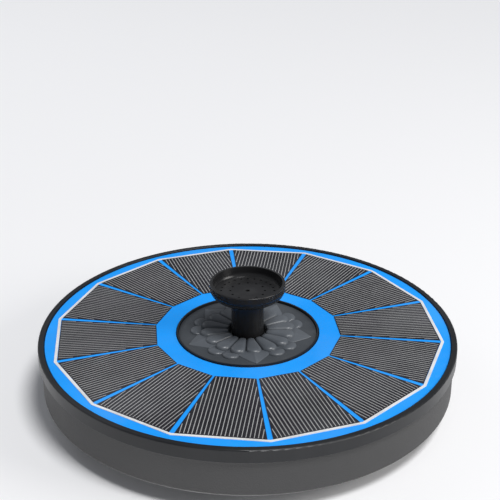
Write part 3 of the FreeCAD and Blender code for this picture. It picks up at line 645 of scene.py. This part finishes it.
def shape_petal(root, tip, place_point):
    """Petal along +X from a grid. place_point(radius, across) gives each point's Y and Z."""
    mesh = bmesh.new()
    bmesh.ops.create_grid(mesh, x_segments=petal_rows, y_segments=petal_columns, size=1.0)
    for vertex in mesh.verts:
        along = math.sin((vertex.co.x + 1) * math.pi / 4)
        across = math.sin(vertex.co.y * math.pi / 2)
        radius = root + (tip - root) * along
        vertex.co = (radius, *place_point(radius, across))
    for edge in mesh.edges:
        edge.smooth = max(abs(vertex.co.y) for vertex in edge.verts) > 0.001 * MM
    border = [edge for edge in mesh.edges if edge.is_boundary]
    wall = bmesh.ops.extrude_edge_only(mesh, edges=border)["geom"]
    for vertex in wall:
        if isinstance(vertex, bmesh.types.BMVert):
            vertex.co.z = floor_level - petal_foot
    bmesh.ops.holes_fill(mesh, edges=[edge for edge in mesh.edges if edge.is_boundary], sides=0)
    bmesh.ops.remove_doubles(mesh, verts=mesh.verts, dist=0.002 * MM)
    bmesh.ops.recalc_face_normals(mesh, faces=mesh.faces)
    return mesh


def pillow(span, turn_in, tip, top):
    """Rule for a petal with straight sides, a round end and a pillow-shaped top."""
    flare = math.tan(math.radians(span / 2))

    def place_point(radius, across):
        share = tip_share(radius, turn_in, tip)
        half = (min(radius, turn_in) * flare - petal_gap) * math.sqrt(max(0.0, 1 - share ** 2))
        edge = min(1.0, math.sqrt(share ** 2 + across ** 2 * (1 - share ** 2)))
        swell = (1 - edge ** 4) ** (1 / 2.3)
        return across * max(half, least_half_width), floor_level + (top(radius) - floor_level) * swell
    return place_point


def fold(span, shoulder, tip):
    """Rule for a pointed petal: two slopes that meet in a ridge and sink towards the tip."""
    flare = math.tan(math.radians(span / 2))

    def place_point(radius, across):
        share = tip_share(radius, shoulder, tip)
        half = (min(radius, shoulder) * flare - petal_gap) * (1 - share ** 1.1)
        root_dip = ridge_dip * max(0.0, (shoulder - radius) / ridge_dip_length)
        ridge = floor_level + ridge_height - ridge_fall * share - root_dip
        edge = floor_level + edge_height - edge_fall * share
        height = ridge + (edge - ridge) * abs(across) ** 0.8
        return across * max(half, least_half_width), height
    return place_point


# %% The dish and its petals
def add_copies(target, source, count, turn):
    """Adds turned copies of one petal to the trim's mesh, spaced evenly round the middle."""
    data = bpy.data.meshes.new("petal")
    source.to_mesh(data)
    source.free()
    for index in range(count):
        start = len(target.verts)
        target.from_mesh(data)
        target.verts.ensure_lookup_table()
        bmesh.ops.rotate(target, verts=target.verts[start:], cent=(0, 0, 0),
                         matrix=Matrix.Rotation(math.radians(turn + index * 360 / count), 3, "Z"))
    bpy.data.meshes.remove(data)


def make_dish():
    """Dish turned from its section: flat floor, low rounded border, and the hole for the stem."""
    foot = trim_low.z + dish_foot_gap
    outline = [(hole_radius, foot), (trim_radius, foot), (trim_radius, floor_level - dish_rounding),
               (trim_radius - dish_rounding, floor_level)]
    outline += [(trim_radius - width, floor_level) for width in dish_rings]
    outline.append((hole_radius, floor_level))
    mesh = turn_outline(outline, 128)
    for edge in mesh.edges:
        edge.smooth = edge.calc_face_angle(0.0) < sharp_turn
    return mesh


inner_petal = shape_petal(hole_radius + inner_root_gap, inner_tip,
                          pillow(inner_span, inner_tip - inner_round_end, inner_tip, inner_top))
pointed_petal = shape_petal(outer_root, point_tip, fold(point_span, point_shoulder, point_tip))
trim_mesh = make_dish()
dish_faces = len(trim_mesh.faces)
add_copies(trim_mesh, inner_petal, inner_count, inner_turn)
add_copies(trim_mesh, pointed_petal, outer_count, outer_turn)
for lobe_turn in lobe_turns:
    lobe = shape_petal(outer_root, lobe_tip,
                       pillow(lobe_span, lobe_tip - lobe_round_end, lobe_tip, lobe_top))
    add_copies(trim_mesh, lobe, outer_count, outer_turn + lobe_turn)
flower_trim = finish_piece("flower_trim", trim_mesh, trim_grey, "float")
# The dish's faces take the floor finish, whose darker colour is painted shade.
flower_trim.data.materials.append(trim_floor_painted_shade)
for face in flower_trim.data.polygons[:dish_faces]:
    face.material_index = 1
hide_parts("rosette_cover")
print("flower trim", len(flower_trim.data.polygons), "faces")


# %% [markdown]
# ## The filter sponge
# Through the strainer's slots a dark open-cell sponge shows. It is a disc of foam, so its faces
# are uneven. The ends of a plain disc are divided into rings and all its points are moved a little
# at random, and its material adds the finer grain of the foam.

# %% Sponge
sponge_side_gap = 0.3 * MM
sponge_end_gaps = 0.4 * MM
sponge_rings = 14
ring_share = 16
sway = 0.16 * MM


def make_sponge():
    """Foam disc a little smaller than its place, with uneven ends and sides."""
    mesh = bmesh.new()
    radius = sponge_high.x - sponge_side_gap
    thickness = sponge_high.z - sponge_low.z - sponge_end_gaps
    middle_z = (sponge_high.z + sponge_low.z) / 2
    bmesh.ops.create_cone(mesh, cap_ends=True, segments=96, radius1=radius, radius2=radius,
                          depth=thickness, matrix=Matrix.Translation((0, 0, middle_z)))
    caps = [face for face in mesh.faces if len(face.verts) > 4]
    for _ in range(sponge_rings):
        bmesh.ops.inset_region(mesh, faces=caps, thickness=radius / ring_share, depth=0.0)
    generator = random.Random(7)
    for vertex in mesh.verts:
        vertex.co.z += generator.uniform(-sway, sway)
        vertex.co.x += generator.uniform(-sway, sway)
        vertex.co.y += generator.uniform(-sway, sway)
    bmesh.ops.recalc_face_normals(mesh, faces=mesh.faces)
    return mesh


foam = moulded("open_foam", (0.035, 0.036, 0.038), 0.85, grain=0.9, grain_scale=900.0, rub=0.0,
               dust=0.0)
sponge = finish_piece("sponge", make_sponge(), foam, "intake_cover")
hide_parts("filter_sponge")
print("sponge faces", len(sponge.data.polygons))
